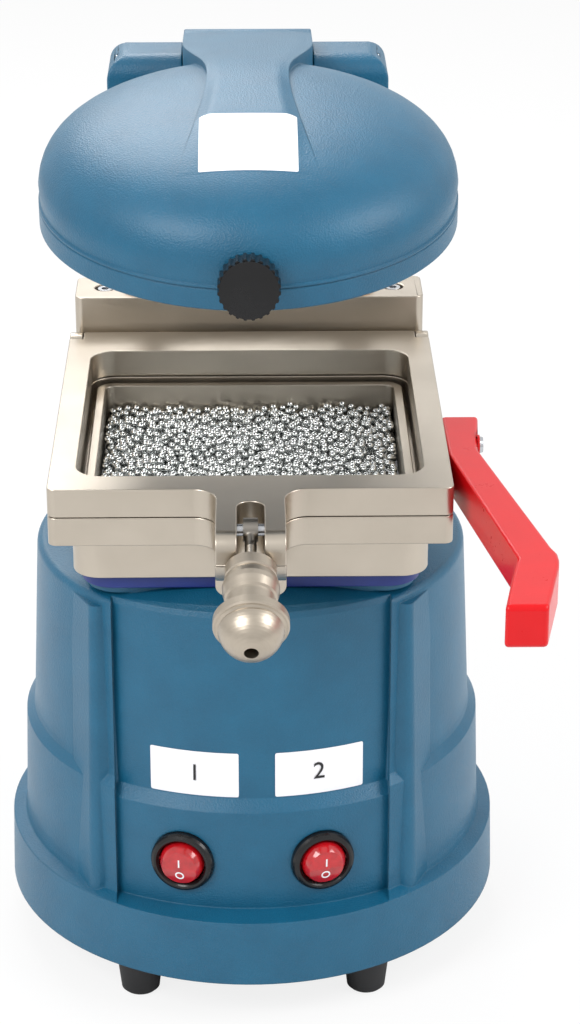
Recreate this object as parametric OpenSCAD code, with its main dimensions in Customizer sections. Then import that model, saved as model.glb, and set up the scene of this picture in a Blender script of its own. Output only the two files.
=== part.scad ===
// Bench-top vacuum former for dental sheets: a motor housing on feet, a bead tray, a hinged sheet
// frame that slides on two guide rods, and a tilting heater head. Millimetres, +Z up.
// Origin on the table plane, under the middle of the bead tray; the front of the machine faces -Y.

/* [Feet] */
// Height of the housing's lower edge above the table
foot_h = 16.5; // [12:0.5:24]
// Radius of a foot where it meets the base plate
foot_top_r = 8.5; // [7:0.5:11]
// Radius of a foot on the table
foot_base_r = 7; // [5.5:0.5:9]
// Sideways distance of each foot from the middle
foot_x = 41.5; // [34:0.5:48]
// Distance of the front feet inside the plinth's edge
foot_inset = 25.1; // [20:0.1:34]
// Backward distance of the rear feet from the middle
foot_rear = 88; // [76:1:92]
// Shank radius of the small machine screws
screw_r = 1.5; // [1:0.1:2]
// Head radius of the small machine screws
screw_head_r = 2.8; // [2.4:0.1:3.2]

/* [Housing] */
// Wall thickness of the moulded housing
wall = 3; // [2.4:0.1:4]
// Radius of the plinth at its lower edge
plinth_r = 92.1; // [90:0.1:96]
// Height of the plinth's top ledge above the table
plinth_top = 41.5; // [36:0.5:48]
// Radius of the middle tier just above the plinth
tier_r = 86; // [85:0.1:88]
// Height of the step between the middle and the upper tier
tier_top = 84.5; // [78:0.5:92]
// Radius of the upper tier at that step
body_r = 81.6; // [80.5:0.1:83]
// Radius of the upper tier under its rounded rim
rim_r = 78.5; // [77:0.1:80]
// Height of the rounded rim above the table
rim_z = 152; // [146:0.5:154]
// Height of the flat deck above the table
deck_z = 159.4; // [157:0.1:164]
// Half width of the rear part that carries the rods
rear_half_w = 66; // [60:0.5:68]
// Distance of the rear face behind the middle of the tray
rear_y = 112; // [108:0.5:118]
// Growth of the rear part from one tier to the next lower one
tier_step = 1.6; // [1:0.1:2.4]

/* [Front panel] */
// Half width of the recessed front panel
panel_half_w = 49; // [45:0.5:52]
// Distance of the panel's axis behind the middle
panel_y = 16.3; // [14:0.1:20]
// Radius of the panel at the rim
panel_top_r = 89.3; // [88:0.1:91]
// Radius of the panel above its middle chamfer
panel_mid_r = 92.3; // [91.5:0.1:94]
// Radius of the panel below its middle chamfer
panel_low_r = 96.8; // [95:0.1:98]
// Height of the lower edge of the middle chamfer
chamfer_z = 80; // [74:0.5:88]

/* [Switches] */
// Sideways distance of each switch from the middle
switch_x = 25; // [20:0.5:30]
// Height of the switches above the table
switch_z = 59.5; // [56:0.5:64]
// Radius of the black switch ring
bezel_r = 11.5; // [10.5:0.1:12.5]
// How far the ring stands out of the panel
bezel_out = 2.6; // [1.8:0.1:3.4]
// Radius of the red rocker
rocker_r = 8.2; // [7:0.1:8.6]
// Angle of the rocker from one state to the other
rocker_throw = 20; // [14:1:24]

/* [Suction unit] */
// Radius of the suction duct from the tray to the fan
duct_r = 18; // [14:0.5:22]
// Radius of the fan's sheet metal case
fan_r = 59; // [54:0.5:62]
// Height of the fan case
fan_h = 32; // [26:0.5:34]
// Radius of the motor
motor_r = 42; // [36:0.5:46]
// Length of the motor below the fan
motor_h = 68; // [56:1:76]
// Radius of the motor shaft
shaft_r = 4; // [3:0.1:5]

/* [Tray and vacuum base] */
// Half width of the vacuum base
base_half_x = 62; // [60:0.5:64]
// Half depth of the vacuum base
base_half_y = 63; // [61:0.5:65]
// Height of the vacuum base
base_h = 16.2; // [14:0.1:18]
// Thickness of the rubber gasket under the vacuum base
gasket_t = 5.1; // [3:0.1:6]
// Half width of the bead tray
tray_half_x = 58; // [55:0.5:58.5]
// Half depth of the bead tray
tray_half_y = 57.5; // [55:0.5:58.5]
// Wall thickness of the bead tray
tray_wall = 3.3; // [2:0.1:4]
// Height of the bead tray
tray_h = 21.5; // [19:0.5:22]
// Thickness of the perforated plate in the tray
mesh_t = 1.5; // [1:0.1:2]
// Depth of the steel shot in the tray
shot_h = 5.5; // [3:0.5:9]

/* [Sheet frame] */
// Half width of both frame plates
plate_half_w = 69.3; // [67:0.1:71]
// Distance of the plates' front edge from the middle
plate_front = 72; // [70:0.5:75]
// Thickness of the lower plate
lower_t = 10.4; // [9:0.1:12]
// Thickness of the upper plate
upper_t = 10.4; // [9:0.1:12]
// Half width of the window in both plates
window_half_x = 60; // [59:0.5:61.5]
// Half depth of the window in both plates
window_half_y = 60; // [59:0.5:61.5]
// Sideways distance of each guide rod from the middle
rod_x = 38.75; // [34:0.25:42]
// Distance of the rods behind the middle
rod_y = 97; // [96:0.5:98]
// Radius of the guide rods
rod_r = 6; // [5:0.1:7]
// Height of the block that slides on the rods, above the lower plate
block_h = 23; // [18:0.5:26]
// Travel of the sheet frame up the rods
lift = 60; // [40:1:60]
// Radius of the frame's hinge pin
frame_pin_r = 2; // [1.5:0.1:2.4]

/* [Clamp] */
// Width of the tongues that hold the swing bolt
tongue_w = 23.5; // [20:0.5:27]
// Width of the slot in the tongues
slot_w = 9.2; // [8:0.1:10]
// Distance of the swing bolt's pivot in front of the middle
pivot_front = 95.5; // [94:0.5:97]
// Radius of the round tongue noses about the pivot
nose_r = 16.9; // [16.6:0.1:17.2]
// Radius of the swing bolt's thread
bolt_r = 2; // [1.6:0.1:2.4]
// Angle of the swing bolt below level as it hangs loose
bolt_droop = 21; // [10:1:30]
// Radius of the clamp knob's widest ring
knob_flange_r = 12.5; // [11:0.1:13]
// Radius of the clamp knob's round end
knob_ball_r = 10.9; // [10:0.1:11.6]

/* [Heater head] */
// Height of the head's rim centre above the table
head_z = 275.5; // [275:0.5:282]
// Radius of the head at its rim
head_r = 73.3; // [70:0.1:76]
// Height of the head from rim to crown
head_h = 41.5; // [38:0.5:46]
// Height of the rim band under the double groove
band_h = 7.5; // [6:0.1:10]
// Wall thickness of the head
head_wall = 2.6; // [2:0.1:3.5]
// Angle by which the head leans forward at rest
head_lean = 7.4; // [4:0.1:9]
// Distance of the head's hinge behind the middle
hinge_y = 100; // [99.5:0.1:100.5]
// Height of the head's hinge above the table
hinge_z = 304; // [303.5:0.5:308]
// Radius of the hinge barrel
barrel_r = 12; // [10:0.1:13]
// Half width of the hinge barrel
barrel_half_w = 24; // [20:0.5:26]
// Half width of the head's arm at its waist
waist_half_w = 14.5; // [12:0.5:18]
// Half width of the yoke that carries the head
yoke_half_w = 53; // [50:0.5:56]
// Radius of the round heating element's outer loop
element_r = 46; // [40:0.5:52]
// Radius of the heating element's tube
element_tube_r = 3.2; // [2.5:0.1:4]
// Radius of the fluted knob on the head
head_knob_r = 10.4; // [9:0.1:12]
// Thickness of the fluted knob
head_knob_t = 9; // [7:0.5:12]

/* [Handle] */
// Width of the handle bar
handle_w = 13; // [11:0.5:15]
// Height of the handle bar
handle_h = 15; // [12:0.5:17]
// Reach of the handle's end in front of the middle
handle_reach = 161; // [150:1:170]
// Sideways swing of the handle's outer bend past its root
handle_swing = 17.2; // [12:0.2:22]

/* [Hidden] */
$fn = 72;

// Clearances
fit = 0.05;
seat = 0.02;
gap = 0.3;
past = 1;

// Heights that follow from each other, from the table up
plate_z = foot_h + 0.5;
plate_t = 2;
plate_top = plate_z + plate_t;
deck_under = deck_z - wall;
seal_t = 6.4;
fan_top = deck_under - seal_t;
fan_z = fan_top - fan_h;
motor_z = fan_z - motor_h;
base_z = deck_z + gasket_t;
base_top = base_z + base_h;
well_floor_t = 4;
well_z = base_z + well_floor_t;
shelf_t = 3.5;
mesh_z = well_z + shelf_t;
shot_z = mesh_z + mesh_t;
lower_z = base_top + gap;
lower_top = lower_z + lower_t;
upper_z = lower_top + 0.2;
upper_top = upper_z + upper_t;
block_top = lower_top + block_h;

// Foot details
foot_front = plinth_r - foot_inset;
foot_recess_r = 4;
foot_recess = 7;

// Handle details
handle_screw_y = -22;
handle_screw_z = upper_top - upper_t / 2;
handle_screw_x = plate_half_w + handle_w - 2;
handle_screw_head_r = 3.4;

// Housing details
rim_round = 3;
deck_flat_r = 60;
rear_round = 20;
boss_r = 6;
boss_h = 40;
boss_front = (plinth_r - 8.6) * [sin(44), -cos(44)];
boss_rear = [rear_half_w - 4, rear_y - 50];
socket_depth = 40;
socket_wall = 4;
panel_angle = asin(switch_x / panel_low_r);
panel_seat = 0.7;
bezel_barrel_r = bezel_r - 1.5;
bezel_bore_r = rocker_r + 0.3;
bezel_barrel_h = 15;
rocker_depth = 2.8;
inlet_z = 62;
inlet_w = 27.4;
inlet_h = 20;
inlet_depth = 22;
fuse_x = 30;
fuse_r = 6;

// Sheet frame details
window_round = 9;
plate_round = 3;
ear_w = 5;
frame_pin_z = upper_top - upper_t / 2;
ear_r = upper_t / 2;
upper_rear = rod_y - rod_r - 6.4;
frame_pin_y = upper_rear - ear_r;
shelf_rear = rod_y + rod_r + 7;
bush_r = rod_r + 3;
bush_flange_r = bush_r + 1.5;
bush_flange_t = 1.5;
block_front = upper_rear + 0.7;
block_half_w = plate_half_w - 1.7;

// Clamp details, along the bolt from its pivot
pivot_z = upper_z + 5.9;
pivot_pin_r = 2;
eye_r = 4;
eye_w = 5;
collar_at = nose_r + 0.7;
collar_r = 8.6;
collar_h = 5.4;
knob_at = collar_at + collar_h + 0.1;
stud_end = knob_at + 23;
tongue_fillet = 8;
tongue_slot_end = pivot_front - 13.5;
lug_front = 82;
lug_z = base_z + 2;

// Head details
rim_wall_r = head_r - head_wall;
dome_power = 2.8;
yoke_z = block_top + bush_flange_t + lift + 6.1;
yoke_top = hinge_z + 4.5;
yoke_front = hinge_y - 12;
yoke_rear = hinge_y + 18;
yoke_gap = 0.5;
yoke_bar_t = 5.5;
hinge_pin_r = 2.5;
rod_top = yoke_z + 15;
rod_bottom = deck_z - socket_depth;
reflector_z = 6.5;
element_z = 9.5;
knob_up = head_lean + 3.6;
knob_rise = band_h + 3.7;
knob_stud_r = 2.5;
knob_nut_r = 3.8;
knob_nut_h = 3;
dome_z0 = band_h + 2.2;
head_hinge_y = hinge_y * cos(head_lean) + (hinge_z - head_z) * sin(head_lean);
head_hinge_z = (hinge_z - head_z) * cos(head_lean) - hinge_y * sin(head_lean);

// Small shapes
module rounded_rect(x0, x1, y0, y1, r) {
    translate([x0 + r, y0]) square([x1 - x0 - 2 * r, y1 - y0]);
    translate([x0, y0 + r]) square([x1 - x0, y1 - y0 - 2 * r]);
    for (x = [x0 + r, x1 - r], y = [y0 + r, y1 - r]) translate([x, y]) circle(r);
}

module slab(x0, x1, y0, y1, z0, z1, r) {
    translate([0, 0, z0]) linear_extrude(z1 - z0) rounded_rect(x0, x1, y0, y1, r);
}

// A side view, drawn as (Y, Z), made as wide as asked on both sides of the middle
module along_x(half_w) {
    rotate([90, 0, 90]) translate([0, 0, -half_w]) linear_extrude(2 * half_w) children();
}

// A front view, drawn as (X, Z), from y0 back to y1
module along_y(y0, y1) {
    translate([0, y1, 0]) rotate([90, 0, 0]) linear_extrude(y1 - y0) children();
}

module both_sides() {
    children();
    mirror([1, 0, 0]) children();
}

module ring(r_out, r_in, h) {
    difference() {
        cylinder(r = r_out, h = h);
        translate([0, 0, -past]) cylinder(r = r_in, h = h + 2 * past);
    }
}

// Pan head screw, its head on the plane z = 0 and its shank pointing down
module screw(r, head_r, length) {
    translate([0, 0, -length]) cylinder(r = r, h = length, $fn = 24);
    difference() {
        cylinder(r1 = head_r, r2 = head_r * 0.8, h = head_r * 0.75, $fn = 24);
        translate([0, 0, head_r * 0.3]) cylinder(r = head_r * 0.45, h = head_r, $fn = 6);
    }
}

// The housing's outline, drawn in by inset on its outer side
function housing_points(inset) = concat(
    [
        [0, foot_h - (inset > 0 ? past : 0)],
        [plinth_r - inset, foot_h - (inset > 0 ? past : 0)],
        [plinth_r - 0.8 - inset, plinth_top - inset],
        [tier_r + 0.5 - inset, plinth_top + 1.5 - inset],
        [tier_r - inset, plinth_top + 4.5 - inset],
        [tier_r - 1.3 - inset, tier_top - inset],
        [body_r + 0.2 - inset, tier_top + 3 - inset],
        [body_r - 0.2 - inset, tier_top + 5.5 - inset]
    ],
    [
        for (a = [0:15:90])
            [rim_r - rim_round * (1 - cos(a)) - inset, rim_z + rim_round * sin(a) - inset]
    ],
    [
        [deck_flat_r, deck_z - inset],
        [0, deck_z - inset]
    ]
);

function panel_points(inset) = [
    [0, 0],
    [panel_low_r + 0.5 - inset, 0],
    [panel_low_r + 0.5 - inset, plinth_top],
    [panel_low_r - 0.5 - inset, chamfer_z - inset],
    [panel_mid_r - inset, chamfer_z + 4 - inset],
    [panel_top_r - inset, rim_z + 1 - inset],
    [panel_top_r - 0.9 - inset, rim_z + 3 - inset],
    [panel_top_r - 3 - inset, rim_z + 4.3 - inset],
    [panel_top_r - 3.2 - inset, deck_z + 2 * past],
    [0, deck_z + 2 * past]
];

// Rear part of the housing in three tiers, each a little larger than the one above
module rear_part(inset) {
    z0 = foot_h - (inset > 0 ? past : 0);
    tops = [plinth_top, tier_top + 2, deck_z];
    for (k = [0:2]) {
        w = rear_half_w + tier_step * (2 - k) - inset;
        slab(-w, w, -rear_round, rear_y + tier_step * (2 - k) - inset, z0, tops[k] - inset, rear_round);
    }
}

// Room in front of the panel's face, between its two upright edges
module panel_room(inset) {
    z0 = plinth_top - inset;
    difference() {
        translate([-panel_half_w - inset, -plinth_r - past, z0])
            cube([2 * (panel_half_w + inset), plinth_r, deck_z - z0 + past]);
        translate([0, panel_y, 0]) rotate_extrude($fn = 96) polygon(panel_points(inset));
    }
}

module housing_form(inset) {
    difference() {
        union() {
            rotate_extrude($fn = 96) polygon(housing_points(inset));
            rear_part(inset);
        }
        panel_room(inset);
    }
}

// Upright rib beside the front panel, sharp on its outer edge and round on its inner one
module pilaster() {
    hull() {
        translate([0, 0, plinth_top - 1]) linear_extrude(1) {
            polygon([[panel_half_w - 1, -52], [65, -56], [panel_half_w - 1, -66]]);
            translate([56, -64.5]) circle(4, $fn = 32);
        }
        translate([0, 0, rim_z - 1]) linear_extrude(1) {
            polygon([[panel_half_w - 1, -42], [63.6, -45.5], [panel_half_w - 1, -57]]);
            translate([54.5, -56.5]) circle(3, $fn = 32);
        }
    }
}

// Places a switch on the panel: its own -Y points out of the panel, its middle on the seat
module at_switch(side) {
    translate([0, panel_y, switch_z])
        rotate([0, 0, side * panel_angle])
            translate([0, -panel_low_r + panel_seat, 0]) children();
}

// A cylinder along the switch's own axis, from depth d0 to d1 behind its seat
module switch_disc(r, d0, d1) {
    translate([0, d1, 0]) rotate([90, 0, 0]) cylinder(r = r, h = d1 - d0);
}

module at_rods() {
    for (side = [-1, 1]) translate([side * rod_x, rod_y, 0]) children();
}

module at_bosses() {
    for (side = [-1, 1], p = [boss_front, boss_rear]) translate([side * p[0], p[1], 0]) children();
}

module at_feet() {
    for (side = [-1, 1], y = [-foot_front, foot_rear]) translate([side * foot_x, y, 0]) children();
}

module base_housing() {
    color("steelblue") difference() {
        union() {
            difference() {
                union() {
                    housing_form(0);
                    both_sides() pilaster();
                    slab(-tray_half_x, tray_half_x, -tray_half_y, tray_half_y, deck_under, deck_z, 12);
                }
                housing_form(wall);
            }
            intersection() {
                housing_form(past);
                union() {
                    at_bosses() translate([0, 0, plate_top]) cylinder(r = boss_r, h = boss_h);
                    at_rods() translate([0, 0, rod_bottom - socket_wall])
                        cylinder(r = rod_r + socket_wall, h = socket_depth + socket_wall - past);
                    at_rods() translate([-1.5, 0, rod_bottom - socket_wall])
                        cube([3, rear_y - rod_y - past, socket_depth]);
                }
            }
        }
        at_bosses() translate([0, 0, plate_top - past]) cylinder(r = screw_r + seat, h = 12 + past, $fn = 24);
        at_rods() translate([0, 0, rod_bottom]) cylinder(r = rod_r + seat, h = socket_depth + past);
        translate([0, 0, deck_under - past]) cylinder(r = duct_r, h = wall + 2 * past);
        for (side = [-1, 1]) at_switch(side) {
            switch_disc(bezel_barrel_r + 0.15, -6, 10);
            switch_disc(bezel_r + 0.2, -6, 0);
        }
        translate([-inlet_w / 2 - seat, rear_y - 10, inlet_z - inlet_h / 2 - seat])
            cube([inlet_w + 2 * seat, 20, inlet_h + 2 * seat]);
        translate([fuse_x, rear_y + 10, inlet_z]) rotate([90, 0, 0]) cylinder(r = fuse_r + seat, h = 20);
    }
}

// The base plate's outline follows the inside of the housing
module bottom_outline(clear) {
    circle(plinth_r - wall - clear, $fn = 96);
    w = rear_half_w + 2 * tier_step - wall - clear;
    rounded_rect(-w, w, -rear_round, rear_y + 2 * tier_step - wall - clear, rear_round);
}

module plate_hole() {
    translate([0, 0, plate_z - past])
        cylinder(r = screw_r + seat, h = plate_t + 2 * past, $fn = 24);
}

module bottom_plate() {
    color("dimgray") difference() {
        translate([0, 0, plate_z]) linear_extrude(plate_t) bottom_outline(gap);
        at_bosses() plate_hole();
        at_feet() plate_hole();
        for (k = [-3:3]) slab(-18, 18, 8 * k - 1.5, 8 * k + 1.5, plate_z - past, plate_top + past, 1.4);
    }
}

module bottom_plate_screws() {
    color("silver") at_bosses() translate([0, 0, plate_z]) mirror([0, 0, 1]) screw(screw_r, screw_head_r, 12);
}

module feet() {
    color([0.12, 0.12, 0.13]) at_feet() rotate_extrude() polygon([
        [foot_recess_r, 0],
        [foot_base_r - 1, 0],
        [foot_base_r, 1],
        [foot_top_r, plate_z - 2.5],
        [foot_top_r + 1.5, plate_z - 2],
        [foot_top_r + 1.5, plate_z],
        [screw_r + seat, plate_z],
        [screw_r + seat, foot_recess],
        [foot_recess_r, foot_recess]
    ]);
}

module foot_screws() {
    color("silver") at_feet() translate([0, 0, foot_recess])
        mirror([0, 0, 1]) screw(screw_r, screw_head_r, plate_top + 2 - foot_recess);
}

module motor_case() {
    color("silver") difference() {
        union() {
            translate([0, 0, motor_z]) cylinder(r = motor_r - 4, h = motor_h);
            translate([0, 0, motor_z + 8]) cylinder(r = motor_r, h = motor_h - 16);
            translate([0, 0, fan_z - 4]) cylinder(r = motor_r, h = 4);
        }
        translate([0, 0, motor_z + 8]) cylinder(r = shaft_r + fit, h = motor_h);
        for (k = [0:7]) rotate([0, 0, 45 * k + 22.5])
            translate([motor_r - 3, 0, motor_z + 14]) slab(0, 8, -4, 4, 0, motor_h - 30, 2);
    }
}

module fan_case() {
    color("gainsboro") translate([0, 0, fan_z]) difference() {
        cylinder(r = fan_r, h = fan_h);
        translate([0, 0, 1.5]) cylinder(r = fan_r - 1.5, h = fan_h - 3);
        translate([0, 0, fan_h / 2]) cylinder(r = duct_r, h = fan_h);
        translate([0, 0, -past]) cylinder(r = shaft_r + 2, h = 4);
        for (k = [0:11]) rotate([0, 0, 30 * k + 15]) translate([fan_r - 5, -8, 4]) cube([10, 16, 9]);
    }
}

module motor_mount() {
    color("dimgray") {
        translate([0, 0, fan_z - 4]) ring(fan_r + 5, motor_r + gap, 4);
        for (k = [0:3]) rotate([0, 0, 90 * k + 45])
            translate([fan_r - 4, 0, plate_top]) cylinder(r = 4, h = fan_z - 4 - plate_top);
    }
}

module motor_seal() {
    color([0.15, 0.15, 0.16]) translate([0, 0, fan_top]) ring(duct_r + 12, duct_r + 1, seal_t);
}

module fan_impeller() {
    blade_z = fan_z + 7;
    color("lightgray") difference() {
        union() {
            translate([0, 0, blade_z]) cylinder(r = fan_r - 9, h = 1.5);
            translate([0, 0, blade_z + 14]) ring(fan_r - 9, duct_r + 3, 1.5);
            translate([0, 0, blade_z]) cylinder(r = shaft_r + 5, h = 15);
            for (k = [0:8]) rotate([0, 0, 40 * k])
                translate([duct_r, 0, blade_z + 1]) rotate([0, 0, 28]) cube([fan_r - duct_r - 14, 1.2, 13.5]);
        }
        translate([0, 0, blade_z - past]) cylinder(r = shaft_r + seat, h = 18);
    }
}

module motor_shaft() {
    color("silver") translate([0, 0, motor_z + 8 + gap]) cylinder(r = shaft_r, h = motor_h + fan_h - 18);
}

module vacuum_base() {
    color([0.82, 0.78, 0.72]) difference() {
        slab(-base_half_x, base_half_x, -base_half_y, base_half_y, base_z, base_top, 10);
        slab(-tray_half_x - gap, tray_half_x + gap, -tray_half_y - gap, tray_half_y + gap,
             well_z, base_top + past, 7);
        translate([0, 0, base_z - past]) cylinder(r = duct_r, h = well_floor_t + 2 * past);
    }
}

module platform_gasket() {
    color([0.13, 0.2, 0.48]) difference() {
        slab(2.5 - base_half_x, base_half_x - 2.5, 2.5 - base_half_y, base_half_y - 2.5, deck_z, base_z, 12);
        translate([0, 0, deck_z - past]) cylinder(r = duct_r, h = gasket_t + 2 * past);
    }
}

module bead_tray() {
    color([0.8, 0.76, 0.7]) difference() {
        slab(-tray_half_x, tray_half_x, -tray_half_y, tray_half_y, well_z, well_z + tray_h, 6.5);
        slab(-tray_half_x + tray_wall, tray_half_x - tray_wall, -tray_half_y + tray_wall,
             tray_half_y - tray_wall, mesh_z, well_z + tray_h + past, 3.5);
        slab(-tray_half_x + tray_wall + 2, tray_half_x - tray_wall - 2, -tray_half_y + tray_wall + 2,
             tray_half_y - tray_wall - 2, well_z - past, mesh_z + past, 2);
    }
}

module perforated_plate() {
    w = tray_half_x - tray_wall - 0.1;
    d = tray_half_y - tray_wall - 0.1;
    color("silver") difference() {
        slab(-w, w, -d, d, mesh_z, mesh_z + mesh_t, 3);
        for (i = [-3:3], j = [-3:3])
            translate([i * w / 3.8, j * d / 3.8, mesh_z - past])
                cylinder(r = 2, h = mesh_t + 2 * past, $fn = 24);
    }
}

module steel_shot() {
    w = tray_half_x - tray_wall - gap;
    d = tray_half_y - tray_wall - gap;
    color("gainsboro") slab(-w, w, -d, d, shot_z, shot_z + shot_h, 3);
}

module guide_rods() {
    color("silver") at_rods() translate([0, 0, rod_bottom]) cylinder(r = rod_r, h = rod_top - rod_bottom);
}

// Yoke of the head: two ears on the rods, joined behind the hinge barrel
module head_yoke() {
    ear_in = barrel_half_w + yoke_gap;
    color("steelblue") difference() {
        union() {
            both_sides() intersection() {
                along_x(yoke_half_w) rounded_rect(yoke_front, yoke_rear, yoke_z, yoke_top, 8);
                along_y(yoke_front, yoke_rear) union() {
                    translate([ear_in, yoke_z]) square([yoke_half_w - ear_in, yoke_top - yoke_z - 9]);
                    translate([ear_in, yoke_z]) square([yoke_half_w - ear_in - 9, yoke_top - yoke_z]);
                    translate([yoke_half_w - 9, yoke_top - 9]) circle(9);
                }
            }
            translate([-ear_in - 1, yoke_rear - yoke_bar_t, yoke_z + 8])
                cube([2 * ear_in + 2, yoke_bar_t, yoke_top - yoke_z - 16]);
        }
        at_rods() translate([0, 0, yoke_z - past]) cylinder(r = rod_r + seat, h = rod_top - yoke_z + past);
        at_rods() translate([0, 0, rod_top - 8]) rotate([-90, 0, 0]) cylinder(r = 2 + seat, h = 40, $fn = 24);
        translate([-yoke_half_w + 3, hinge_y, hinge_z]) rotate([0, 90, 0])
            cylinder(r = hinge_pin_r + seat, h = 2 * yoke_half_w - 6);
    }
}

module yoke_screws() {
    color("silver") at_rods() translate([0, rod_r, rod_top - 8]) rotate([-90, 0, 0]) difference() {
        cylinder(r = 2, h = yoke_rear - rod_y - rod_r - 2, $fn = 24);
        translate([0, 0, 4]) cylinder(r = 1, h = 20, $fn = 6);
    }
}

module head_hinge_pin() {
    color("silver") translate([-yoke_half_w + 3.2, hinge_y, hinge_z]) rotate([0, 90, 0])
        cylinder(r = hinge_pin_r, h = 2 * yoke_half_w - 6.4);
}

// Black switch ring with its closed body; +Z out of the panel
module bezel_shape() {
    top = panel_seat + bezel_out;
    difference() {
        rotate_extrude() polygon([
            [0, -bezel_barrel_h],
            [bezel_barrel_r, -bezel_barrel_h],
            [bezel_barrel_r, 0],
            [bezel_r, 0],
            [bezel_r, top - 1.4],
            [bezel_r - 0.5, top - 0.5],
            [bezel_r - 1.4, top],
            [bezel_bore_r + 0.8, top],
            [bezel_bore_r, top - 0.8],
            [bezel_bore_r, 3 - bezel_barrel_h],
            [0, 3 - bezel_barrel_h]
        ]);
        translate([-bezel_bore_r - 1, 0, top - rocker_depth]) rotate([0, 90, 0])
            cylinder(r = 1 + fit, h = 2 * bezel_bore_r + 2, $fn = 24);
    }
}

// Red rocker on its two trunnions, as it lies when the switch is off
module rocker_shape() {
    translate([0, 0, panel_seat + bezel_out - rocker_depth]) rotate([rocker_throw / 2, 0, 0]) {
        intersection() {
            sphere(r = rocker_r);
            along_x(rocker_r) polygon([[-9, -4], [9, -4], [9, 4.2], [0, 5.4], [-9, 4.2]]);
        }
        translate([-bezel_bore_r - 0.7, 0, 0]) rotate([0, 90, 0])
            cylinder(r = 1, h = 2 * bezel_bore_r + 1.4, $fn = 24);
    }
}

module left_switch_bezel() {
    color([0.1, 0.1, 0.11]) at_switch(-1) rotate([90, 0, 0]) bezel_shape();
}

module right_switch_bezel() {
    color([0.1, 0.1, 0.11]) at_switch(1) rotate([90, 0, 0]) bezel_shape();
}

module left_rocker() {
    color("crimson") at_switch(-1) rotate([90, 0, 0]) rocker_shape();
}

module right_rocker() {
    color("crimson") at_switch(1) rotate([90, 0, 0]) rocker_shape();
}

module power_inlet() {
    y = rear_y + tier_step;
    color([0.1, 0.1, 0.11]) {
        difference() {
            union() {
                translate([-inlet_w / 2, y - inlet_depth, inlet_z - inlet_h / 2])
                    cube([inlet_w, inlet_depth, inlet_h]);
                along_y(y, y + 2) rounded_rect(-inlet_w / 2 - 2, inlet_w / 2 + 2, inlet_z - inlet_h / 2 - 2,
                                               inlet_z + inlet_h / 2 + 2, 2);
            }
            along_y(y - inlet_depth + 4, y + 4) polygon([
                [-12, inlet_z - 8],
                [12, inlet_z - 8],
                [12, inlet_z + 4],
                [8, inlet_z + 8],
                [-8, inlet_z + 8],
                [-12, inlet_z + 4]
            ]);
        }
        for (x = [-7, 0, 7]) translate([x - 1, y - inlet_depth + 3.9, inlet_z - 2 + (x == 0 ? 4 : 0)])
            cube([2, 14, 4]);
    }
}

module fuse_holder() {
    y = rear_y + tier_step;
    color([0.1, 0.1, 0.11]) translate([fuse_x, y, inlet_z]) rotate([-90, 0, 0]) difference() {
        union() {
            translate([0, 0, -24]) cylinder(r = fuse_r, h = 24);
            cylinder(r = fuse_r + 2, h = 2);
            cylinder(r = fuse_r - 0.5, h = 4);
        }
        translate([-4, -0.6, 2.8]) cube([8, 1.2, 2]);
    }
}

// Side view of both plates' noses: round about the swing bolt's pivot
module nose_side() {
    front = pivot_front + nose_r - 0.9;
    intersection() {
        translate([-pivot_front, pivot_z]) circle(nose_r);
        union() {
            translate([-front, lower_z]) square([2 * nose_r, upper_top - lower_z - 6]);
            translate([6 - front, lower_z]) square([2 * nose_r, upper_top - lower_z]);
            translate([6 - front, upper_top - 6]) circle(6);
        }
    }
    translate([-pivot_front, lower_z]) square([30, upper_top - lower_z]);
}

// Tongue in plan, with round fillets where it leaves the plate
module tongue(z0, z1) {
    w = tongue_w / 2;
    intersection() {
        translate([0, 0, z0]) linear_extrude(z1 - z0) union() {
            translate([-w, -pivot_front - nose_r - past]) square([2 * w, nose_r + 30]);
            for (side = [-1, 1]) difference() {
                translate([side > 0 ? 0 : -w - tongue_fillet, -plate_front - tongue_fillet])
                    square([w + tongue_fillet, tongue_fillet + past]);
                translate([side * (w + tongue_fillet), -plate_front - tongue_fillet]) circle(tongue_fillet);
            }
        }
        along_x(2 * w) nose_side();
    }
}

module tongue_slot(z0, z1) {
    r = slot_w / 2;
    translate([0, 0, z0]) linear_extrude(z1 - z0) {
        translate([-r, -pivot_front - nose_r - 2 * past])
            square([slot_w, pivot_front + nose_r + 2 * past - tongue_slot_end - r]);
        translate([0, -tongue_slot_end - r]) circle(r);
    }
}

module frame_window(z0, z1) {
    slab(-window_half_x, window_half_x, -window_half_y, window_half_y, z0, z1, window_round);
}

module frame_pin_bore(r) {
    translate([-plate_half_w - past, frame_pin_y, frame_pin_z]) rotate([0, 90, 0])
        cylinder(r = r, h = 2 * (plate_half_w + past));
}

module at_block_screws() {
    for (side = [-1, 1], x = [15, rod_x + bush_flange_r + 7]) translate([side * x, rod_y, 0]) children();
}

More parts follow.
